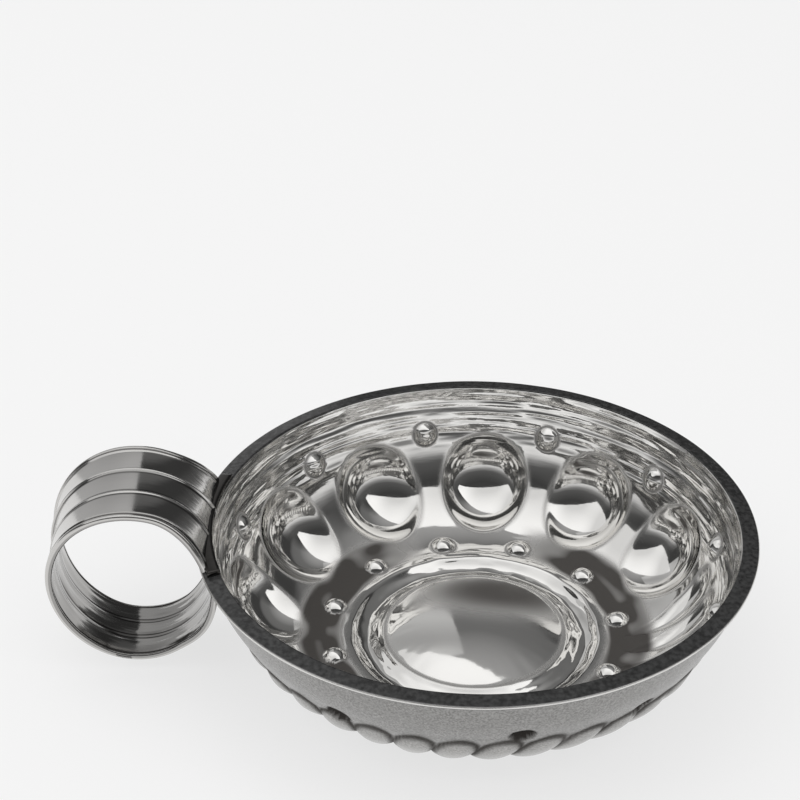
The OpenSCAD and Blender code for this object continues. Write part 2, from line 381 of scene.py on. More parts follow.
low_aim = math.acos((low_pearls_r - flat_r) / (bend_r - sheet))
high_thick = np.interp(high_pearl_s, along, line_thick)
dimple_sink = sheet - pearl_sink
cupule_balls = [bend_point(azimuth, cupule_aim, cupule_depth - cupule_r) for azimuth in cupule_azimuths]
pearl_balls = pearl_centres(pearl_sink, pearl_sink)
dimple_balls = pearl_centres(sheet - dimple_sink, high_thick - dimple_sink)
print(f"{len(cupule_balls)} cupule punches, {len(pearl_balls)} pearl punches")

# %% Write the gadroon punch


def bell(x, middle, reach, power=2):
    """A smooth hump, 1 high at its middle; a higher power gives it a flatter top."""
    return np.exp(-((x - middle) / reach) ** power)


def gadroon_press(s, depth, fullness):
    """Spindles that start in a point, widen to the pitch and end round, with a hollow between two ridges."""
    widest, shoulder, full_depth, outline_start, outline_w = 0.5, 0.74, 0.35, 0.2, 0.28
    q = np.clip((s - tip_s) / (top_s - tip_s), 0, None)[:, None]
    place = (columns - ridge_azimuths[0]) / gadroon_pitch
    across = 2 * (place - np.floor(place)) - 1
    inside = ((place >= 0) & (place <= gadroons))[None, :]
    past_shoulder = np.clip(q - shoulder, 0, None) / (1 - shoulder)
    width = np.clip((q / widest) ** 0.8, 0.001, 1) * fullness
    hollow = 1 - (across[None, :] / width) ** 2 - past_shoulder ** 2
    deep = depth * np.clip(q / full_depth, 0, 1) ** 0.6
    pressed = np.where(inside, deep * np.clip(hollow, 0, None) ** 0.8, 0)
    outline = np.where(inside, np.clip(q / outline_start, 0, 1) * bell(hollow, 0, outline_w), 0)
    return pressed, outline


print(f"{gadroons} gadroon punches, {gadroon_pitch} degrees apart")

# %% [markdown]
# ## Hammer waves
# Under the rim the planishing hammer ran round and round the wall, and left long low waves. They are far
# too shallow to see as shapes, but a mirror finish turns them into bright and dark streaks. Real waves in
# the mesh give the right streaks from every side. The random draws are seeded, so the cup comes out the
# same each time.

# %% Make seeded waves


def waves(azimuths, s, cells_round, cell_s, seed):
    """Smooth seeded bumps about 1 high: cells_round of them in a turn, cell_s mm along the line."""
    grid = np.random.default_rng(seed).uniform(-1, 1, (int(along[-1] / cell_s) + 3, cells_round))
    x = (azimuths % 360) / 360 * cells_round
    y = np.broadcast_to((s / cell_s)[:, None], x.shape)
    i = np.floor(x).astype(int)
    j = np.floor(y).astype(int)
    fx = (x - i) ** 2 * (3 - 2 * (x - i))
    fy = (y - j) ** 2 * (3 - 2 * (y - j))
    i0 = i % cells_round
    i1 = (i + 1) % cells_round
    low = grid[j, i0] * (1 - fx) + grid[j, i1] * fx
    high = grid[j + 1, i0] * (1 - fx) + grid[j + 1, i1] * fx
    return low * (1 - fy) + high * fy


print("waves are drawn from a seed each")

# %% Hammer the inside


def fade(s, start, end):
    """A column of values that rise smoothly from 0 at start to 1 at end."""
    t = np.clip((s - start) / (end - start), 0, 1)
    return (t * t * (3 - 2 * t))[:, None]


streak_height = 0.12
ripple_height = 0.06
broad_height = 0.03
broad_start, broad_full = 8, 14


def hammered(azimuths, s):
    """Height of the hammer's marks: streaks under the rim, ripples in the moat, broad waves off the dome."""
    under_rim = fade(s, high_pearl_s - 4, high_pearl_s + 0.5)
    moat = fade(s, dome_r + 0.5, dome_r + 2) * (1 - fade(s, low_pearl_s - 2.5, low_pearl_s))
    off_dome = fade(s, broad_start, broad_full)
    streaks = waves(azimuths, s, 14, 1.1, seed=11) + 0.4 * waves(azimuths, s, 40, 0.5, seed=12)
    ripple = waves(azimuths, s, 44, 0.7, seed=13)
    broad = waves(azimuths, s, 24, 6.0, seed=14) + 0.8 * waves(azimuths, s, 60, 2.6, seed=18)
    bands = streak_height * under_rim * streaks + ripple_height * moat * ripple
    return bands + broad_height * off_dome * broad


hammer_waves = hammered(inner_az, inner_rows)
print(f"hammer waves up to {np.abs(hammer_waves).max():.2f} mm high")

# %% [markdown]
# ## From grid to mesh
# One helper makes every skin here: it takes a grid of points, joins neighbours with four-sided faces, and
# closes the ends with a fan. Values such as "outside", or the mark of tarnish and painted shade, are stored
# on the points, where the finish can read them. This keeps shape and finish together, and no picture has to
# be painted.

# %% Make a mesh from a grid of points


def skin(name, grid, marks, wrap_rows=False, ends=True):
    """A mesh object from a grid of points in mm about the bowl's axis; marks are named values per point."""
    rows, count = grid.shape[:2]
    points = grid.reshape(-1, 3)
    index = np.arange(rows * count).reshape(rows, count)
    down = np.concatenate([index, index[:1]]) if wrap_rows else index
    wide = np.concatenate([down, down[:, :1]], axis=1)
    corners = [wide[:-1, :-1], wide[:-1, 1:], wide[1:, 1:], wide[1:, :-1]]
    faces = np.stack(corners, axis=-1).reshape(-1, 4).tolist()
    if ends:
        first = len(points)
        last = first + 1
        points = np.concatenate([points, [grid[0].mean(axis=0), grid[-1].mean(axis=0)]])
        faces += [[first, b, a] for a, b in zip(wide[0], wide[0][1:])]
        faces += [[last, a, b] for a, b in zip(wide[-1], wide[-1][1:])]
    mesh = bpy.data.meshes.new(name)
    mesh.from_pydata(((points + [axis_x, 0, 0]) * MM).tolist(), [], faces)
    for mark, values in marks.items():
        end_values = [values[0].mean(), values[-1].mean()] if ends else []
        layer = mesh.attributes.new(mark, "FLOAT", "POINT")
        layer.data.foreach_set("value", np.concatenate([values.ravel(), end_values]).astype(np.float32))
    mesh.shade_smooth()
    piece = bpy.data.objects.new(name, mesh)
    bpy.context.scene.collection.objects.link(piece)
    return piece


print("one helper makes every skin")

# %% Find points and normals on the sheet


def sheet_points(s, azimuths, depth):
    """Points at depths under the inner line, with the normal that points out of the bowl."""
    r = np.interp(s, along, line_rr)
    z = np.interp(s, along, line_zz)
    dr = np.interp(s, along, line_dr)
    dz = np.interp(s, along, line_dz)
    length = np.hypot(dr, dz)
    out_r = (dz / length)[:, None]
    out_z = (-dr / length)[:, None]
    a = np.radians(azimuths)
    radius = r[:, None] + depth * out_r
    height = np.broadcast_to(z[:, None] + depth * out_z, a.shape)
    points = np.stack([radius * np.cos(a), radius * np.sin(a), height], -1)
    normals = np.stack([out_r * np.cos(a), out_r * np.sin(a), np.broadcast_to(out_z, a.shape)], -1)
    return points, normals


print("points on the sheet lie at a depth under its inner line")

# %% [markdown]
# ## The inside of the bowl
# All the punches meet here: cupules and gadroons go out, pearls come in, and the hammer waves lie over
# everything. Each form's own depth also tells where its edge is, so the same numbers place the tarnish
# that settles there.

# %% Press the inside
edge_roll = 0.15
pearl_roll = 0.18
plain_inner, inner_n = sheet_points(inner_rows, inner_az, 0.0)
cup_edge = dished(deepest(plain_inner, inner_n, cupule_balls, cupule_r, side=1))
pearl_edge = deepest(plain_inner, inner_n, pearl_balls, pearl_r, side=-1)
hollows, hollow_edge = gadroon_press(inner_rows, gadroon_depth, fullness=1.0)
inner_press = soft_rise(cup_edge, edge_roll) + hollows - soft_rise(pearl_edge, pearl_roll) + hammer_waves
inner = plain_inner + inner_n * inner_press[..., None]
print(f"pressed out by up to {inner_press.max():.2f} and in by up to {-inner_press.min():.2f} mm")

# %% Draw tarnish along the edges of the forms
edge_gap = 0.15
moat_gap = 0.3
pearl_line = 0.8 * bell(pearl_edge, -edge_gap, 0.28)
cupule_line = 0.35 * bell(cup_edge, -edge_gap, 0.35)
dome_line = 0.75 * bell(inner_rows, dome_r + moat_gap, 0.3)[:, None]
hollow_line = 0.4 * hollow_edge
print("tarnish lines at pearls, cupules, gadroons and the dome")

# %% Paint a dark reflection on the far part of the dome
# Painted reflection: the far part of the dome is darkened in colour, as where it mirrors the dim room.
dark_reflection_spot = np.array([4.5, 8.0, dome_z + dome_ball])
dark_reflection_stretch = np.array([0.65, 1.15, 0.0])
dark_reflection_reach = 8.5
dark_reflection_gap = np.linalg.norm((inner - dark_reflection_spot) * dark_reflection_stretch, axis=-1)
on_dome = (inner_rows < dome_r - 0.4)[:, None]
dome_dark_reflection = 0.95 * bell(dark_reflection_gap, 0, dark_reflection_reach, power=4) * on_dome
print(f"the cloud lies {np.hypot(*dark_reflection_spot[:2]):.1f} mm from the middle of the dome")

# %% Darken the recess round the low pearls, with tarnish and painted shade
# Tarnish and painted shade: the recess round the low pearls is darkened in colour everywhere except on the
# far side.
far_side = 90
unshaded_half = 18
unshaded_fade = 25
recess_s = low_pearl_s + 1.6
recess_reach = 3.6
recess_strength, recess_most = 1.35, 0.96
round_pearls = bell(inner_rows, recess_s, recess_reach, power=6)[:, None]
off_cupules = 1 - soft_rise(cup_edge, 0.2).clip(0, 1)
from_far_side = np.abs((inner_az - far_side + 180) % 360 - 180)
off_far_side = np.clip((from_far_side - unshaded_half) / unshaded_fade, 0, 1)
patchy = 0.85 + 0.3 * waves(inner_az, inner_rows, 40, 2.0, seed=15)
off_pearls = pearl_edge < 0.1
recess_tarnish_and_shade = recess_strength * round_pearls * off_cupules * off_far_side * patchy
recess_tarnish_and_shade = np.clip(recess_tarnish_and_shade, 0, recess_most) * off_pearls
# Tarnish lines and painted shade are joined here: the dome's painted dark reflection and the recess shade
# darken the colour as tarnish does.
inner_tarnish_and_shade = np.max(np.broadcast_arrays(
    pearl_line, cupule_line, dome_line, dome_dark_reflection, recess_tarnish_and_shade, hollow_line), axis=0)
print(f"tarnish covers {100 * (inner_tarnish_and_shade > 0.5).mean():.0f} % of the points inside")

# %% [markdown]
# ## The outside of the bowl
# The outside lies one sheet's thickness away. A cupule bulges there, a pearl leaves a round dimple, and a
# gadroon stands proud as a leaf, with an outline darkened as painted shade. Where the sheet would pass
# through the table it is worn flat.

# %% Press the outside
dimple_r = 1.85
planish_height = 0.03
thickness = np.interp(outer_rows, along, line_thick)[:, None]
plain_outer, outer_n = sheet_points(outer_rows, outer_az, thickness)
bulge_depth = deepest(plain_outer, outer_n, cupule_balls, cupule_r + pressed_skin, side=1)
bulges = soft_rise(dished(bulge_depth), edge_roll)
dimples = soft_rise(deepest(plain_outer, outer_n, dimple_balls, dimple_r, side=-1), pearl_roll)
leaves, leaf_painted_shade = gadroon_press(outer_rows, gadroon_bulge, fullness=0.98)
above_leaves = fade(outer_rows, top_s, top_s + 3)
planished = planish_height * above_leaves * waves(outer_az, outer_rows, 30, 3.5, seed=16)
outer = plain_outer + outer_n * (bulges + leaves - dimples + planished)[..., None]
outer[..., 2] = np.maximum(outer[..., 2], 0)
print(f"lowest point outside at z {outer[..., 2].min():.2f} mm")

# %% Darken the dimples and the leaf outlines with tarnish and painted shade, and rub the leaves
# Painted shade: the dark lines round the leaves stand in for the shade under them, and the dimples are
# darkened partly as tarnish and partly as painted shade.
dark_depth = 0.3
leaf_rub = 0.3
outer_tarnish_and_shade = np.maximum(np.clip(dimples / dark_depth, 0, 0.97), 0.95 * leaf_painted_shade)
satin_share = 1 - leaf_rub * np.clip(leaves / gadroon_bulge, 0, 1)
print(f"tarnish covers {100 * (outer_tarnish_and_shade > 0.5).mean():.0f} % of the points outside")

# %% Join both faces into one bowl
plain_work, rim_work, moat_work, outside_work = 0.2, 0.4, 0.3, 0.35
under_rim = fade(inner_rows, high_pearl_s - 2, high_pearl_s + 1)
in_moat = fade(inner_rows, dome_r, dome_r + 1) * (1 - fade(inner_rows, low_pearl_s - 2, low_pearl_s))
worked = plain_work + np.maximum(rim_work * under_rim, moat_work * in_moat)
worked = np.broadcast_to(worked, inner_az.shape)
# One mark carries both real tarnish and painted shade to the finish.
bowl = skin("raised_bowl", np.concatenate([inner, outer[::-1]]), marks={
    "outside": np.concatenate([np.zeros(inner_az.shape), satin_share[::-1]]),
    "tarnish_and_shade": np.concatenate([inner_tarnish_and_shade, outer_tarnish_and_shade[::-1]]),
    "hammer": np.concatenate([worked, np.full(outer_az.shape, outside_work)])})
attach(bowl, "root")
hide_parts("bowl")
print(f"raised_bowl: {len(bowl.data.vertices)} points, {len(bowl.data.polygons)} faces")

# %% [markdown]
# ## The rim wire
# The rim is a flat wire soldered on the sheet's edge. Its top falls a little outwards and its outer edge
# is a rounded nose, rubbed bright by every hand. Spinning one outline about the axis is how a lathe would
# make it, and it is the simplest way here too.

# %% Draw the section of the rim wire
nose_lift = 0.18
nose_r = rim_r - rim_nose
nose_z = wall_top + rim_nose + nose_lift
nose_angles = np.radians(np.linspace(75, -90, 16))
nose = np.stack([nose_r + rim_nose * np.cos(nose_angles), nose_z + rim_nose * np.sin(nose_angles)], -1)
inner_edge = np.array([
    [rim_in, rim_top - 0.12], [rim_in + 0.03, rim_top - 0.05], [rim_in + 0.1, rim_top - 0.01]])
flat_top = inner_edge[-1] + np.linspace(0.1, 0.95, 9)[:, None] * (nose[0] - inner_edge[-1])
rim_line = np.concatenate([
    [[rim_in, lip_z]], inner_edge, flat_top, nose, [[outer_wall(wall_top), wall_top]]])
print(f"rim section: {len(rim_line)} points")

# %% Spin the rim wire
rim_turn = np.radians(np.arange(0, 360, 0.5))
wobble_waves = [(0.012, 5, 1), (0.01, 13, 0), (0.006, 31, 2)]
wobble = sum(height * np.sin(count * rim_turn + phase) for height, count, phase in wobble_waves)
top_band = 0.45
on_top = rim_line[:, 1:] > rim_top - top_band
rim_grid = np.stack([
    rim_line[:, :1] * np.cos(rim_turn),
    rim_line[:, :1] * np.sin(rim_turn),
    rim_line[:, 1:] + on_top * wobble], -1)
nose_turn = np.degrees(np.arctan2(rim_line[:, 1] - nose_z, rim_line[:, 0] - nose_r))
rub_middle, rub_reach = 20, 34
rubbed = (rim_line[:, 0] > nose_r) * bell(nose_turn, rub_middle, rub_reach, power=4)
rubbed = np.broadcast_to(rubbed[:, None], rim_grid.shape[:2])
rim = skin("rim_wire", rim_grid, marks={"rubbed": rubbed}, wrap_rows=True, ends=False)
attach(rim, "root")
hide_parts("rim_band")
print(f"rim_wire: {len(rim.data.vertices)} points")

# %% [markdown]
# ## The fluted strap
# The ring was rolled flat as a strap with three flutes between beaded edges, and bent round a mandrel.
# One end fans out to lie on the rim and the other comes back against the wall. Underneath, the strap is
# narrower, hangs a little low and opens towards its far edge, as a band bent by hand does. We draw the
# section of the strap once, carry it round the ring, and press it against the wall where the two meet.

# %% Name the sizes of the strap
strap_thick = 0.9
bead_r = 0.52
ring_w = 19.4
flutes = 3
flute_depth = 0.1
flute_swell = 0.06
ridge_half = 0.12
far_rib_height, far_rib_w = 0.34, 0.3
near_rib_height, near_rib_w = 0.12, 0.22
fillet_height, fillet_w = 0.16, 0.16
fillet_gap = 0.35

ring_reach = (ring_high[2] - ring_low[2]) / 2
ring_outer = ring_reach - (bead_r - strap_thick / 2)
ring_inner = ring_outer - strap_thick
ring_x = ring_low[0] - axis_x + ring_reach
ring_z = ring_high[2] - ring_reach
bead_y = ring_w / 2 - bead_r
bead_foot = bead_y - bead_r
flute_pitch = 2 * bead_foot / flutes
strap_edge = ring_w / 2
print(f"ring middle at x {ring_x:.2f}, z {ring_z:.2f}, bore {2 * ring_inner:.1f} mm")

# %% Draw the section of the strap
rib_spots = [-bead_foot, -flute_pitch / 2, flute_pitch / 2, bead_foot, -strap_edge, strap_edge]
strap_end = strap_edge - 0.001
strap_y = graded(-strap_end, strap_end, coarse=0.3, spots=rib_spots, reach=0.75, fine=0.08)
flute_place = (strap_y + flute_pitch * flutes / 2) / flute_pitch
flute_across = 2 * (flute_place - np.floor(flute_place)) - 1
flute_room = flute_pitch / 2 - ridge_half
hollow = np.clip(1 - (flute_across * flute_pitch / 2 / flute_room) ** 2, 0, None)
bead_round = np.sqrt(np.clip(bead_r ** 2 - (np.abs(strap_y) - bead_y) ** 2, 0, None))
far_rib = far_rib_height * bell(strap_y, flute_pitch / 2, far_rib_w)
near_rib = near_rib_height * bell(strap_y, -flute_pitch / 2, near_rib_w)
fillet = fillet_height * bell(np.abs(strap_y), bead_foot - fillet_gap, fillet_w)
fluted = ring_outer - flute_depth * hollow + far_rib + near_rib + fillet - flute_depth
in_flutes = np.abs(strap_y) < bead_foot
bead_middle = ring_inner + strap_thick / 2
outer_face = np.where(in_flutes, fluted, bead_middle + bead_round)
inner_face = np.where(in_flutes, ring_inner - flute_swell * hollow, bead_middle - bead_round)
section_r = np.concatenate([outer_face, inner_face[::-1]])
section_y = np.concatenate([strap_y, strap_y[::-1]])
section_in = np.concatenate([np.zeros(len(strap_y)), np.ones(len(strap_y))])
print(f"strap section: {len(strap_y)} points across")

# %% Find how the strap widens and hangs
landing_w = 26.6
flare_len = 8.0
strap_taper = 0.28
bottom_drop = 3.0
far_flare = 1.0
side_flare, low_flare = 0.6, 0.9
landing_lift = 0.15
tuck_depth = 0.2

land_angle = math.asin((rim_top + landing_lift - ring_z) / ring_outer)
tuck_angle = 2 * math.pi + math.asin((wall_top - tuck_depth - ring_z) / ring_inner)
sweep = np.linspace(land_angle, tuck_angle, 361)
fan_r = (flare_len ** 2 + (landing_w / 2 - strap_edge) ** 2) / (landing_w - ring_w)
past_flare = np.clip(ring_x + ring_outer * np.cos(sweep) + rim_in + flare_len, 0, flare_len)
past_flare = past_flare * (np.sin(sweep) > 0) * (sweep < math.pi)
half_width = strap_edge + fan_r - np.sqrt(fan_r ** 2 - past_flare ** 2)
low = (1 - np.sin(sweep)) / 2
near_wall, at_wall = 5.2, 6.0
before_wall = 1 - fade(sweep, near_wall, at_wall)[:, 0]
widen = half_width / strap_edge * (1 - strap_taper * low * before_wall)
opening = far_flare * (side_flare * np.clip(-np.cos(sweep), 0, 1) + low_flare * low * before_wall)
print(f"strap {ring_w * widen.min():.1f} mm wide underneath and {ring_w * widen.max():.1f} at the rim")

# %% Carry the section round the ring
dent_height = 0.1
sweep_turn = np.broadcast_to(np.degrees(sweep), (len(section_y), len(sweep)))
dents = waves(sweep_turn, section_y + ring_w, 14, 1.2, seed=17).T
flared = opening[:, None] * (section_y / ring_w + 0.5) ** 2
strap_r = section_r + flared + dent_height * section_in * dents
strap = np.stack([
    ring_x + strap_r * np.cos(sweep)[:, None],
    section_y * widen[:, None],
    ring_z + strap_r * np.sin(sweep)[:, None] - bottom_drop * low[:, None] ** 2], -1)
reach = np.hypot(strap[..., 0], strap[..., 1])
wall_here = np.where(strap[..., 2] < wall_top, outer_wall(strap[..., 2]), 0)
strap[..., :2] *= np.where(reach < wall_here, wall_here / reach, 1)[..., None]
print(f"{len(sweep)} sections round the ring, {(reach < wall_here).sum()} points pressed to the wall")

# %% Mark the grooves and make the strap
groove_gap, groove_w = 0.5, 0.16
bead_groove_w = 0.2
inside_shade = 0.45
strap_work, bore_work = 0.15, 0.85
rib_gap = np.abs(np.abs(section_y) - flute_pitch / 2)
# Tarnish and painted shade: dark lines beside the ridges and a darker inside of the ring.
groove_shade = 0.9 * bell(rib_gap, groove_gap, groove_w) + bell(np.abs(section_y), bead_foot, bead_groove_w)
flowed = 1 - fade(sweep, land_angle + 0.25, land_angle + 0.75)
handle = skin("finger_ring_strap", strap, marks={
    "groove_tarnish_and_shade": np.broadcast_to(np.clip(groove_shade + inside_shade * section_in, 0, 1), strap.shape[:2]),
    "hammer": np.clip(strap_work + bore_work * section_in + flowed, 0, 1)})
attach(handle, "root")
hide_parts("ring_handle")
print(f"finger_ring_strap: {len(handle.data.vertices)} points")

# %% [markdown]
# ## The landing
# The end of the strap was hammered thin and curved to follow the rim, then soldered down. It is a short
# stretch of a flat ring, so its section is spun about the bowl's axis over the strap's width only.

# %% Lay the end of the strap on the rim
landing_t = 0.8
landing_edge = 0.15
landing_round = 0.05
landing_sink = 0.2
landing_out = rim_r - 2 * rim_nose
rim_slope = (nose[0][1] - rim_top) / (nose[0][0] - rim_in)


def rim_surface(r):
    """Height of the rim's falling top at a radius."""
    return rim_top + rim_slope * (r - rim_in)


in_corner = rim_in + landing_edge
out_corner = landing_out - landing_edge
out_top = rim_surface(landing_out) + landing_t
landing_line = np.array([
    [rim_in, lip_z],
    [rim_in, rim_top + landing_t - landing_edge],
    [rim_in + landing_round, rim_top + landing_t - landing_round],
    [in_corner, rim_surface(in_corner) + landing_t],
    [out_corner, rim_surface(out_corner) + landing_t],
    [landing_out - landing_round, out_top - landing_round],
    [landing_out, out_top - landing_edge],
    [landing_out, rim_surface(landing_out) - landing_sink]])
landing_half = math.asin(landing_w / 2 / landing_out)
spread = math.pi + np.linspace(-landing_half, landing_half, 61)[:, None]
landing = np.stack([
    landing_line[:, 0] * np.cos(spread),
    landing_line[:, 0] * np.sin(spread),
    np.broadcast_to(landing_line[:, 1], (len(spread), len(landing_line)))], -1)
# The whole landing takes the strap's dark colour, as tarnish and painted shade.
plate = skin("strap_landing", landing, marks={
    "groove_tarnish_and_shade": np.ones(landing.shape[:2]),
    "hammer": np.full(landing.shape[:2], 0.5)})
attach(plate, "root")
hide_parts("ring_handle")
print(f"strap_landing: {len(plate.data.vertices)} points")

# %% [markdown]
# ## Silver
# Polished silver has no colour of its own: it shows the room. What makes it read as silver is how the
# mirror is spoiled, by hammer waves, by fine scratches that run round the cup, and by grey tarnish in the
# hollows where no cloth reaches. So the finishes here differ in roughness, in scratches and in tarnish,
# and share one metal. A few small helpers add the shader's nodes, so that each finish below reads as a
# list of what was done to the metal.

# %% Helpers that add and join shader nodes


def feed(tree, node, sockets):
    """Set each named socket of a node to a plain value, or link it to another node's output."""
    for socket, source in sockets.items():
        if isinstance(source, bpy.types.NodeSocket):
            tree.links.new(source, node.inputs[socket])
        else:
            node.inputs[socket].default_value = source


def add_node(tree, kind, sockets, **settings):
    """A new shader node of a kind, with its settings made and its sockets fed."""
    node = tree.nodes.new("ShaderNode" + kind)
    for setting, value in settings.items():
        setattr(node, setting, value)
    feed(tree, node, sockets)
    return node


print("nodes are added and fed by name")

# %% Helpers for values and colours


def point_mark(tree, name):
    """A value that the mesh stores on its points."""
    return add_node(tree, "Attribute", {}, attribute_name=name).outputs["Fac"]


def noise(tree, place, scale, detail):
    """Cloudy values round one half."""
    return add_node(tree, "TexNoise", {"Vector": place, "Scale": scale, "Detail": detail}).outputs["Fac"]


def ranged(tree, value, low, high, to_low=0.0, to_high=1.0):
    """A value stretched from one range to another."""
    sockets = {"Value": value, "From Min": low, "From Max": high, "To Min": to_low, "To Max": to_high}
    return add_node(tree, "MapRange", sockets).outputs["Result"]


def times_plus(tree, value, factor, plus):
    """A value times a factor, plus a number or another value."""
    return add_node(tree, "Math", {0: value, 1: factor, 2: plus}, operation="MULTIPLY_ADD").outputs["Value"]


def mixed(tree, share, first, second):
    """A first colour where the share is 0 and a second where it is 1."""
    return add_node(tree, "Mix", {0: share, 6: first, 7: second}, data_type="RGBA").outputs[2]


print("values and colours can be marked, ranged and mixed")

# %% Helpers for metal


def silver(name):
    """A new bare metal: its material, node tree, shader and place on the object."""
    material = bpy.data.materials.new(name)
    material.use_nodes = True
    tree = material.node_tree
    shader = tree.nodes["Principled BSDF"]
    shader.inputs["Metallic"].default_value = 1.0
    place = add_node(tree, "TexCoord", {}).outputs["Object"]
    return material, tree, shader, place


def polish(tree, place, smooth, dull):
    """Roughness that drifts between smooth and dull patches."""
    return ranged(tree, noise(tree, place, scale=160, detail=6), 0.3, 0.7, smooth, dull)


def drawn_lines(tree, place, squeeze, scale):
    """Noise squeezed along some axes, so that it streaks along the others."""
    stretch = add_node(tree, "Mapping", {"Vector": place, "Scale": squeeze})
    return noise(tree, stretch.outputs["Vector"], scale, detail=4)


def scratched(tree, lines, height, strength=1.0):
    """A bump from lines, its height in millimetres."""
    sockets = {"Height": lines, "Distance": height * MM, "Strength": strength}
    return add_node(tree, "Bump", sockets).outputs["Normal"]


silver_white = (0.84, 0.83, 0.81, 1)
print("one metal, colour", silver_white[:3])

# %% [markdown]
# ## The bowl's finish
# Inside, the bowl is a mirror with fine round scratches where the hammer worked. Outside, handling has
# left it satin, with a fine grey speckle; the grey is also darkened as painted shade. Tarnish is not metal
# any
# more: it is a thin dark skin of silver sulphide, so where it lies the finish turns darker, rougher and less
# metallic. The same mark also paints shade: a dark reflection on the dome, the recess round the low pearls,
# the leaf outlines and the dimples outside.

# %% Finish the bowl
# Painted shade: the two satin greys are darker than dull silver, and the dark brown paints shade as well as
# tarnish.
satin_shade_dark = (0.22, 0.216, 0.21, 1)
satin_shade_light = (0.38, 0.375, 0.366, 1)
tarnish_and_shade_brown = (0.04, 0.035, 0.031, 1)
satin_rough, tarnish_rough = 0.22, 0.45
tarnish_metal = 0.1

raised, tree, shader, place = silver("raised_silver")
outside_mark = point_mark(tree, "outside")
tarnish_and_shade_mark = point_mark(tree, "tarnish_and_shade")
round_lines = drawn_lines(tree, place, squeeze=(0.16, 0.16, 1), scale=1200)
satin = times_plus(tree, outside_mark, satin_rough, polish(tree, place, 0.03, 0.09))
speckle = ranged(tree, noise(tree, place, scale=3200, detail=5), 0.36, 0.64)
both_faces = mixed(tree, outside_mark, silver_white, mixed(tree, speckle, satin_shade_dark, satin_shade_light))
feed(tree, shader, {
    "Base Color": mixed(tree, tarnish_and_shade_mark, both_faces, tarnish_and_shade_brown),
    "Metallic": times_plus(tree, tarnish_and_shade_mark, tarnish_metal - 1, 1.0),
    "Roughness": times_plus(tree, tarnish_and_shade_mark, tarnish_rough, satin),
    "Specular IOR Level": 0.2,
    "Normal": scratched(tree, round_lines, 0.05, point_mark(tree, "hammer"))})
bowl.data.materials.append(raised)
print("raised_silver: mirror inside, satin outside")

# %% [markdown]
# ## The rim's finish
# The flat top of the rim is dark and mottled: partly tarnish, as it is seldom polished, and partly painted
# shade for the dim room it mirrors. Its nose is rubbed bright. The mark on the points says where hands have
# rubbed, and the finish turns from one to the other there.

# %% Finish the rim wire
worn, tree, shader, place = silver("rim_silver")
rubbed_mark = point_mark(tree, "rubbed")
fine_lines = drawn_lines(tree, place, squeeze=(0.6, 0.6, 1), scale=2200)
# Painted shade: the rim's top is darkened in colour, together with its tarnish, as where it mirrors the dim
# room.
mottled_painted_dark = ranged(tree, fine_lines, 0.35, 0.65, 0.04, 0.09)
feed(tree, shader, {
    "Base Color": mixed(tree, rubbed_mark, mottled_painted_dark, silver_white),
    "Metallic": times_plus(tree, rubbed_mark, 0.5, 0.5),
    "Roughness": times_plus(tree, rubbed_mark, 0.22, polish(tree, place, 0.1, 0.22)),
    "Normal": scratched(tree, fine_lines, 0.015)})
rim.data.materials.append(worn)
print("rim_silver: dark top, rubbed nose")

# %% [markdown]
# ## The strap's finish
# The strap was drawn through rollers, so its lines run along the flutes. The narrow grooves beside the
# ridges, the inside of the ring and the landing are darkened, partly as tarnish and partly as painted shade,
# which makes each ridge stand out as a bright line.

# %% Finish the strap and its landing
strap_light = (0.62, 0.61, 0.595, 1)
strap_shade_dark = (0.06, 0.057, 0.054, 1)

drawn, tree, shader, place = silver("strap_silver")
flute_lines = drawn_lines(tree, place, squeeze=(0.25, 1, 0.25), scale=700)
feed(tree, shader, {
    "Base Color": mixed(tree, point_mark(tree, "groove_tarnish_and_shade"), strap_light, strap_shade_dark),
    "Roughness": polish(tree, place, 0.08, 0.18),
    "Normal": scratched(tree, flute_lines, 0.08, point_mark(tree, "hammer"))})
handle.data.materials.append(drawn)
plate.data.materials.append(drawn)
print("strap_silver: drawn lines, tarnish beside the ridges")

# %% [markdown]
# ## The solder's finish
# Solder is a silver alloy that melts early. It stays greyer than the sheet and has a grainy skin. Its CAD
# solid is already the right shape, so it only gets a finish, in the slot of the object itself.

# %% Finish the solder
solder_grey = (0.66, 0.65, 0.62, 1)

dull, tree, shader, place = silver("silver_solder")
grain = drawn_lines(tree, place, squeeze=(1, 1, 1), scale=1500)
feed(tree, shader, {
    "Base Color": solder_grey,
    "Roughness": polish(tree, place, 0.3, 0.5),
    "Normal": scratched(tree, grain, 0.03)})
frame["nodes"]["handle_solder"].material_slots[0].material = dull
print("silver_solder: dull skin on the CAD node")

# %% [markdown]
# ## The studio floor
# The cup stands on pale paper. A part of the paper's brightness is its own glow, seen directly or
# mirrored in the silver, so that it looks white without more light on the cup. The rest is lit, and takes
# the cup's soft shadow.

# %% Lay the paper floor
floor_r = 3.0
floor_sides = 96
paper_white = (0.88, 0.88, 0.88, 1)
paper_glow = (0.95, 0.95, 0.95, 1)
glow_share = 0.73

floor_turns = np.linspace(0, 2 * math.pi, floor_sides + 1)[:-1]
disc = bpy.data.meshes.new("paper_floor")
disc_points = [(floor_r * math.cos(t), floor_r * math.sin(t), 0) for t in floor_turns]
disc.from_pydata(disc_points, [], [list(range(floor_sides))])
paper = bpy.data.objects.new("paper_floor", disc)
bpy.context.scene.collection.objects.link(paper)

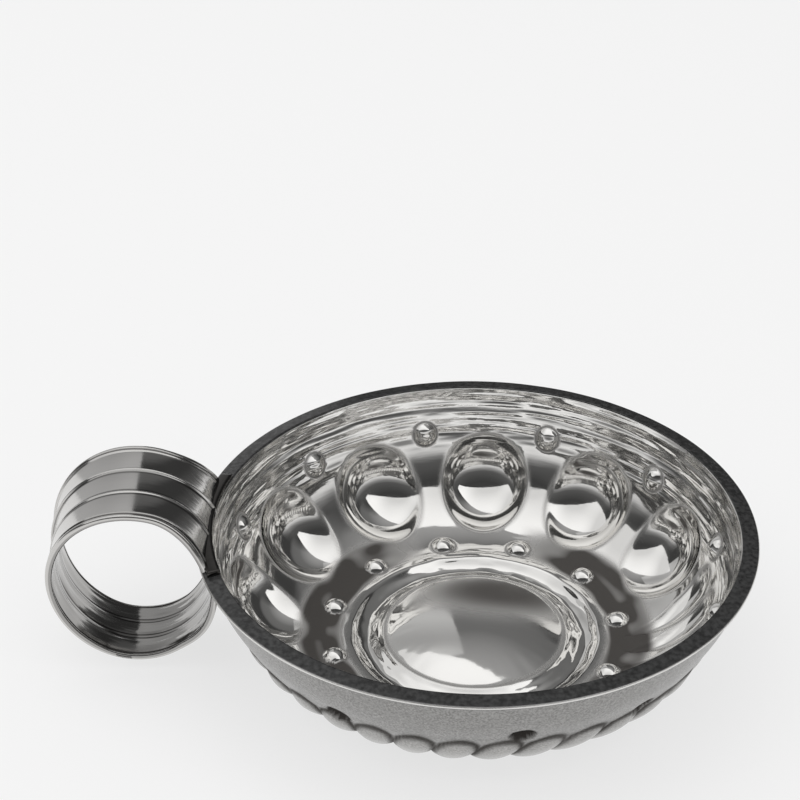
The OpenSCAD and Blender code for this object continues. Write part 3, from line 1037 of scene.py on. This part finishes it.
paper_finish = bpy.data.materials.new("pale_paper")
paper_finish.use_nodes = True
tree = paper_finish.node_tree
shader = tree.nodes["Principled BSDF"]
feed(tree, shader, {"Base Color": paper_white, "Roughness": 0.9, "Specular IOR Level": 0.0})
glow = add_node(tree, "Emission", {"Color": paper_glow, "Strength": 1.0})
rays = add_node(tree, "LightPath", {}).outputs
seen = add_node(tree, "Math", {0: rays["Is Camera Ray"], 1: rays["Is Glossy Ray"]}, operation="MAXIMUM")
any_ray = add_node(tree, "Math", {
    0: seen.outputs["Value"], 1: rays["Is Transmission Ray"]}, operation="MAXIMUM")
share = add_node(tree, "Math", {0: any_ray.outputs["Value"], 1: glow_share}, operation="MULTIPLY")
paper_look = add_node(tree, "MixShader", {
    0: share.outputs["Value"], 1: shader.outputs["BSDF"], 2: glow.outputs["Emission"]})
feed(tree, tree.nodes["Material Output"], {"Surface": paper_look.outputs["Shader"]})
paper.data.materials.append(paper_finish)
print("paper floor, radius", floor_r, "m")

# %% [markdown]
# ## Sheets and cards
# Silver is lit by what it reflects, so a silver photograph is made with sheets and cards. A white sheet
# hung overhead gives the white in the hollows. A grey card behind at the left gives the light side of the
# ring and the dome. A wide lamp just under the sheet lights the paper from above for the shadow, and
# stays out of the mirror.

# %% Hang the sheet and the card


def sheet_of_light(name, corners, radiance):
    """A flat sheet that glows unevenly; the camera doesn't see it, mirrors do."""
    mesh = bpy.data.meshes.new(name)
    mesh.from_pydata([(axis_x * MM + x, y, z) for x, y, z in corners], [], [list(range(len(corners)))])
    hung = bpy.data.objects.new(name, mesh)
    bpy.context.scene.collection.objects.link(hung)
    finish = bpy.data.materials.new(name)
    finish.use_nodes = True
    tree = finish.node_tree
    tree.nodes.remove(tree.nodes["Principled BSDF"])
    place = add_node(tree, "TexCoord", {}).outputs["Object"]
    folds = noise(tree, place, scale=1.3, detail=0.0)
    uneven = ranged(tree, folds, 0.35, 0.65, 0.75 * radiance, 1.1 * radiance)
    glow = add_node(tree, "Emission", {"Strength": uneven})
    feed(tree, tree.nodes["Material Output"], {"Surface": glow.outputs["Emission"]})
    mesh.materials.append(finish)
    hung.visible_camera = False


sky_z = 0.62
sheet_right, sheet_left = 0.8, -0.9
sheet_near = -0.4
sheet_far_right, sheet_far_left = -0.26, 0.76
sheet_of_light("overhead_sheet", [
    (sheet_right, sheet_near, sky_z), (sheet_right, sheet_far_right, sky_z),
    (sheet_left, sheet_far_left, sky_z), (sheet_left, sheet_near, sky_z)], radiance=1.0)
card_y = 0.75
card_right, card_left = -0.09, -1.6
card_low, card_high = 0.02, 1.6
sheet_of_light("grey_card", [
    (card_right, card_y, card_low), (card_left, card_y, card_low),
    (card_left, card_y, card_high), (card_right, card_y, card_high)], radiance=0.5)
print("overhead sheet and grey card")

# %% Hang the lamp for the paper
lamp_w = 2.6
lamp_d = 2.2
lamp_y, lamp_z = -0.05, 0.6
lamp_radiance = 0.55
lamp = bpy.data.lights.new("floor_light", "AREA")
lamp.shape = "RECTANGLE"
lamp.size = lamp_w
lamp.size_y = lamp_d
lamp.energy = lamp_radiance * math.pi * lamp_w * lamp_d
floor_light = bpy.data.objects.new("floor_light", lamp)
bpy.context.scene.collection.objects.link(floor_light)
floor_light.location = (axis_x * MM, lamp_y, lamp_z)
floor_light.visible_camera = False
floor_light.visible_glossy = False
print(f"floor light, {lamp.energy:.1f} W")

# %% [markdown]
# ## The room
# Whatever the sheets leave open, the silver shows the room. Behind the cup the room is dim. On the
# viewer's side it is bright near the floor and dark above, which gives the dark caps in the hollows. Only
# the camera sees the pale backdrop.

# %% Set the room
world = bpy.data.worlds.new("studio_room")
bpy.context.scene.world = world
world.use_nodes = True
tree = world.node_tree
room = tree.nodes["Background"]
direction = add_node(tree, "TexCoord", {}).outputs["Generated"]
split = add_node(tree, "SeparateXYZ", {"Vector": direction})


def room_wall(greys):
    """Greys over the sine of the height, from level to overhead."""
    ramp = add_node(tree, "ValToRGB", {"Fac": split.outputs["Z"]})
    stops = ramp.color_ramp.elements
    stops[1].color = (*[greys[-1][1]] * 3, 1)
    stops[0].color = (*[greys[0][1]] * 3, 1)
    for position, grey in greys[1:-1]:
        stops.new(position).color = (grey, grey, grey, 1)
    return ramp.outputs["Color"]


behind = room_wall([(0, 0.35), (0.1, 0.12), (0.3, 0.05), (0.5, 0.05), (0.58, 0.14), (0.75, 0.16), (1, 0.4)])
before = room_wall([
    (0, 0.95), (0.12, 0.9), (0.24, 0.6), (0.32, 0.25), (0.42, 0.1), (0.7, 0.05), (0.85, 0.06), (1, 0.4)])
side_blend = 0.15
backdrop_pale = (0.9, 0.9, 0.9, 1)
side = ranged(tree, split.outputs["Y"], side_blend, -side_blend)
feed(tree, room, {"Color": mixed(tree, side, behind, before)})
backdrop = add_node(tree, "Background", {"Color": backdrop_pale})
camera_ray = add_node(tree, "LightPath", {}).outputs["Is Camera Ray"]
choose = add_node(tree, "MixShader", {
    0: camera_ray, 1: room.outputs["Background"], 2: backdrop.outputs["Background"]})
feed(tree, tree.nodes["World Output"], {"Surface": choose.outputs["Shader"]})
print("dim room, pale backdrop")

# %% [markdown]
# ## The camera
# The ellipse of a round rim tells where a camera stood: its flatness gives the tilt, and the difference
# between its near and far half gives the distance. Lengths are in rim radii here, so the view keeps to
# the cup's own size.

# %% Place the camera
tilt = math.radians(31.57)
roll = math.radians(-0.23)
distance_radii = 7.0
camera_distance = distance_radii * rim_r
aim_x = -0.271 * rim_r
aim_z = 0.518 * rim_r
image_px = 800
rim_radius_px = 291.3
sensor_mm = 36

aim = Vector((axis_x + aim_x, 0, rim_top + aim_z)) * MM
look = Vector((0, math.cos(tilt), -math.sin(tilt)))
lens = bpy.data.cameras.new("studio_camera")
lens.sensor_width = sensor_mm
lens.lens = sensor_mm * rim_radius_px * distance_radii / image_px
lens.clip_start = 0.01
camera = bpy.data.objects.new("studio_camera", lens)
bpy.context.scene.collection.objects.link(camera)
turn = Matrix.Rotation(math.pi / 2 - tilt, 4, "X") @ Matrix.Rotation(roll, 4, "Z")
camera.matrix_world = Matrix.Translation(aim - look * camera_distance * MM) @ turn
bpy.context.scene.camera = camera
bpy.context.scene.view_settings.view_transform = "Standard"
print(f"camera {camera_distance:.0f} mm from its aim, lens {lens.lens:.1f} mm")

# %% [markdown]
# ## Closing the job
# Last of all the view layer is brought up to date.

# %% Update the view layer
bpy.context.view_layer.update()
